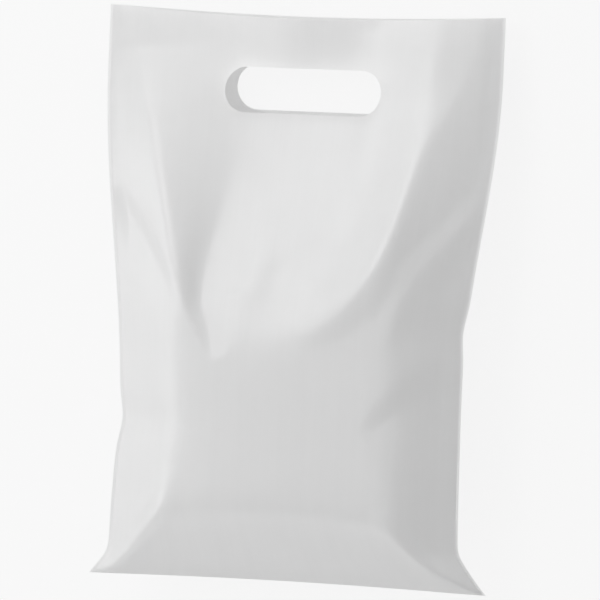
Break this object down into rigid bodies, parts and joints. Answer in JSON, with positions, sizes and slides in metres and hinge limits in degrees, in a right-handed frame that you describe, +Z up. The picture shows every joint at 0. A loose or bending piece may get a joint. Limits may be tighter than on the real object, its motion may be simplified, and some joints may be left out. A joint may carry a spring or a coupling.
{
  "type": "plastic carrier bag",
  "caption": "Small white film carrier bag with a punched hand hole, welded sides and an open mouth, puffed out and lying on its back panel.",
  "frame": {"origin": "on the surface that the bag lies on, under the middle of its outline", "axes": "+X across the bag, +Y from the bottom fold to the mouth, +Z up out of the front panel"},
  "size_m": [0.229, 0.301, 0.0564],
  "materials": {
    "white_film": "satin blown polythene film, opaque white"
  },
  "bodies": {
    "root": {"film_bag": "white_film"}
  },
  "joints": []
}
